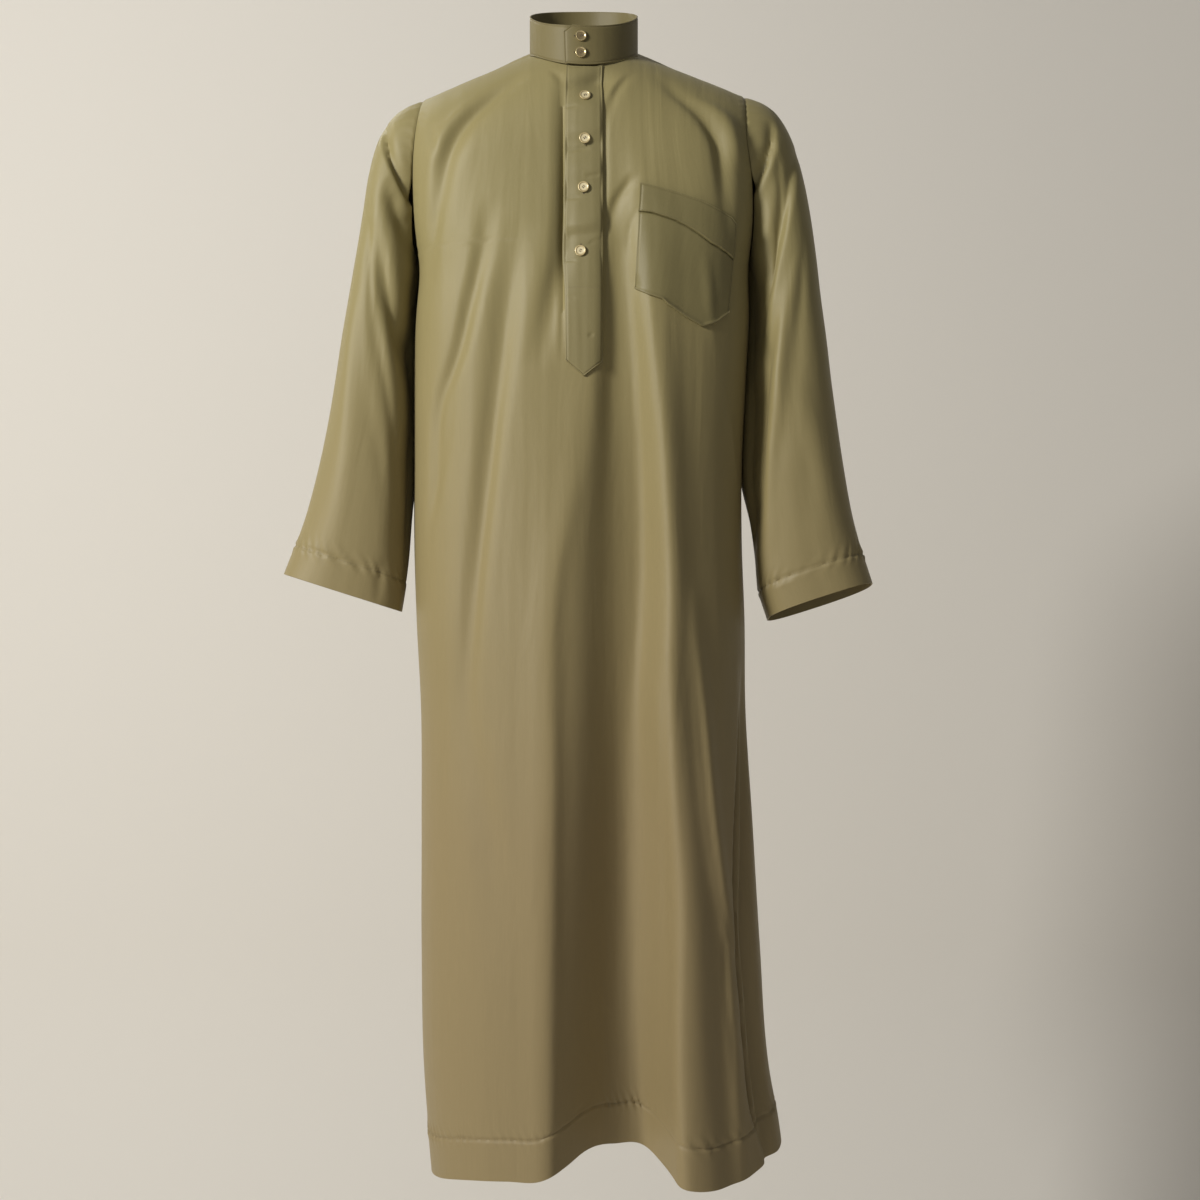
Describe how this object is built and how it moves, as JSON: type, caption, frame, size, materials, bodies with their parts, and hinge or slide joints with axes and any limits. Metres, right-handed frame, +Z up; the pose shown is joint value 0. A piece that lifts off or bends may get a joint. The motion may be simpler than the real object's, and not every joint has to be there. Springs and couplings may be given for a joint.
{
  "type": "thobe robe",
  "caption": "Long straight robe with set-in sleeves, a lapped stand collar, a pointed half placket and a chest pocket, worn over the body from neck to shin",
  "frame": {"origin": "the middle of the neck, level with the neck ends of the shoulder seams", "axes": "+Z is up, -Y is the way the front looks, +X is the wearer's left"},
  "size_m": [0.728, 0.3146, 1.4532],
  "materials": {
    "olive_sateen": "soft satin sheen, olive khaki",
    "olive_sateen_band": "interfaced band of the same olive sateen",
    "cream_button": "glossy cream",
    "gold_button": "polished gold tone"
  },
  "bodies": {
    "root": {"front": "olive_sateen", "back": "olive_sateen", "sleeve_right": "olive_sateen", "sleeve_left": "olive_sateen", "chest_pocket": "olive_sateen", "placket": "olive_sateen_band", "collar_stand": "olive_sateen_band", "placket_button_1": "cream_button", "placket_button_2": "cream_button", "placket_button_3": "cream_button", "placket_button_4": "cream_button", "collar_button_1": "gold_button", "collar_button_2": "gold_button"}
  },
  "joints": []
}
